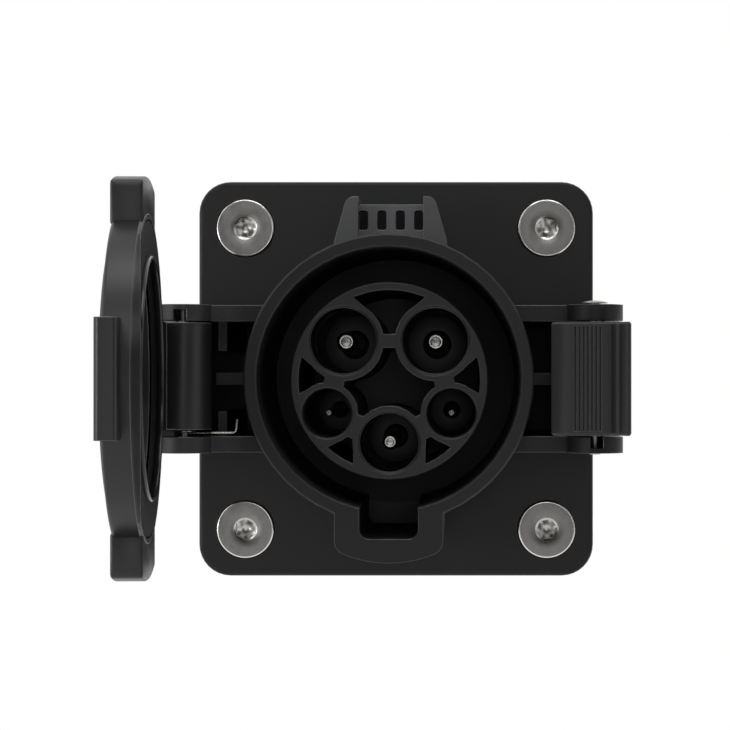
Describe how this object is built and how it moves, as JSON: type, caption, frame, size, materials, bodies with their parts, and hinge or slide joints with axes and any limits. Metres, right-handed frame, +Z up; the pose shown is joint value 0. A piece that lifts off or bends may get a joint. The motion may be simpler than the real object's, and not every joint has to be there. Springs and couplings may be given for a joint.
{
  "type": "vehicle charging inlet",
  "caption": "Round pin-type vehicle charging inlet on a square flange, with a keyway lug, latch catch, hinged lid and spring latch lever.",
  "frame": {"origin": "on the inlet's axis, in the plane of the panel that the flange lies on", "axes": "-Y points out of the panel towards whoever plugs in, +Z is up with the keyway lug below, +X is to the right seen from the front"},
  "size_m": [0.0827, 0.1463, 0.0752],
  "materials": {
    "housing_plastic": "satin",
    "core_plastic": "satin",
    "lid_plastic": "satin",
    "lever_plastic": "satin",
    "seal_rubber": "matte",
    "contact_silver": "polished",
    "stainless_steel": "turned"
  },
  "bodies": {
    "inlet": {"inlet_housing": "housing_plastic", "contact_insulator": "core_plastic", "terminal_carrier": "core_plastic", "line_1_pin": "contact_silver", "line_2_pin": "contact_silver", "ground_pin": "contact_silver", "pilot_pin": "contact_silver", "proximity_pin": "contact_silver", "line_1_seal": "seal_rubber", "line_2_seal": "seal_rubber", "ground_seal": "seal_rubber", "pilot_seal": "seal_rubber", "proximity_seal": "seal_rubber", "insulator_o_ring": "seal_rubber", "panel_gasket": "seal_rubber", "rear_retainer": "housing_plastic", "retainer_screw_1": "stainless_steel", "retainer_screw_2": "stainless_steel", "retainer_screw_3": "stainless_steel", "mount_screw_upper_left": "stainless_steel", "mount_screw_upper_right": "stainless_steel", "mount_screw_lower_left": "stainless_steel", "mount_screw_lower_right": "stainless_steel", "hinge_pin": "stainless_steel", "hinge_spring": "stainless_steel", "latch_pin": "stainless_steel", "latch_spring": "stainless_steel"},
    "lid": {"lid_shell": "lid_plastic", "lid_seal": "seal_rubber"},
    "latch": {"latch_lever": "lever_plastic"}
  },
  "joints": [
    {"name": "lid_hinge", "type": "hinge", "parent": "inlet", "child": "lid", "pos_m": [-0.0351, -0.0473, 0], "axis": [0, 0, 1], "range_deg": [0, 87], "stiffness_Nm_per_rad": 0.012, "springref_deg": -40.11},
    {"name": "latch_hinge", "type": "hinge", "parent": "inlet", "child": "latch", "pos_m": [0.0351, -0.0473, 0], "axis": [0, 0, 1], "range_deg": [0, 20], "stiffness_Nm_per_rad": 0.03, "springref_deg": -22.92}
  ]
}
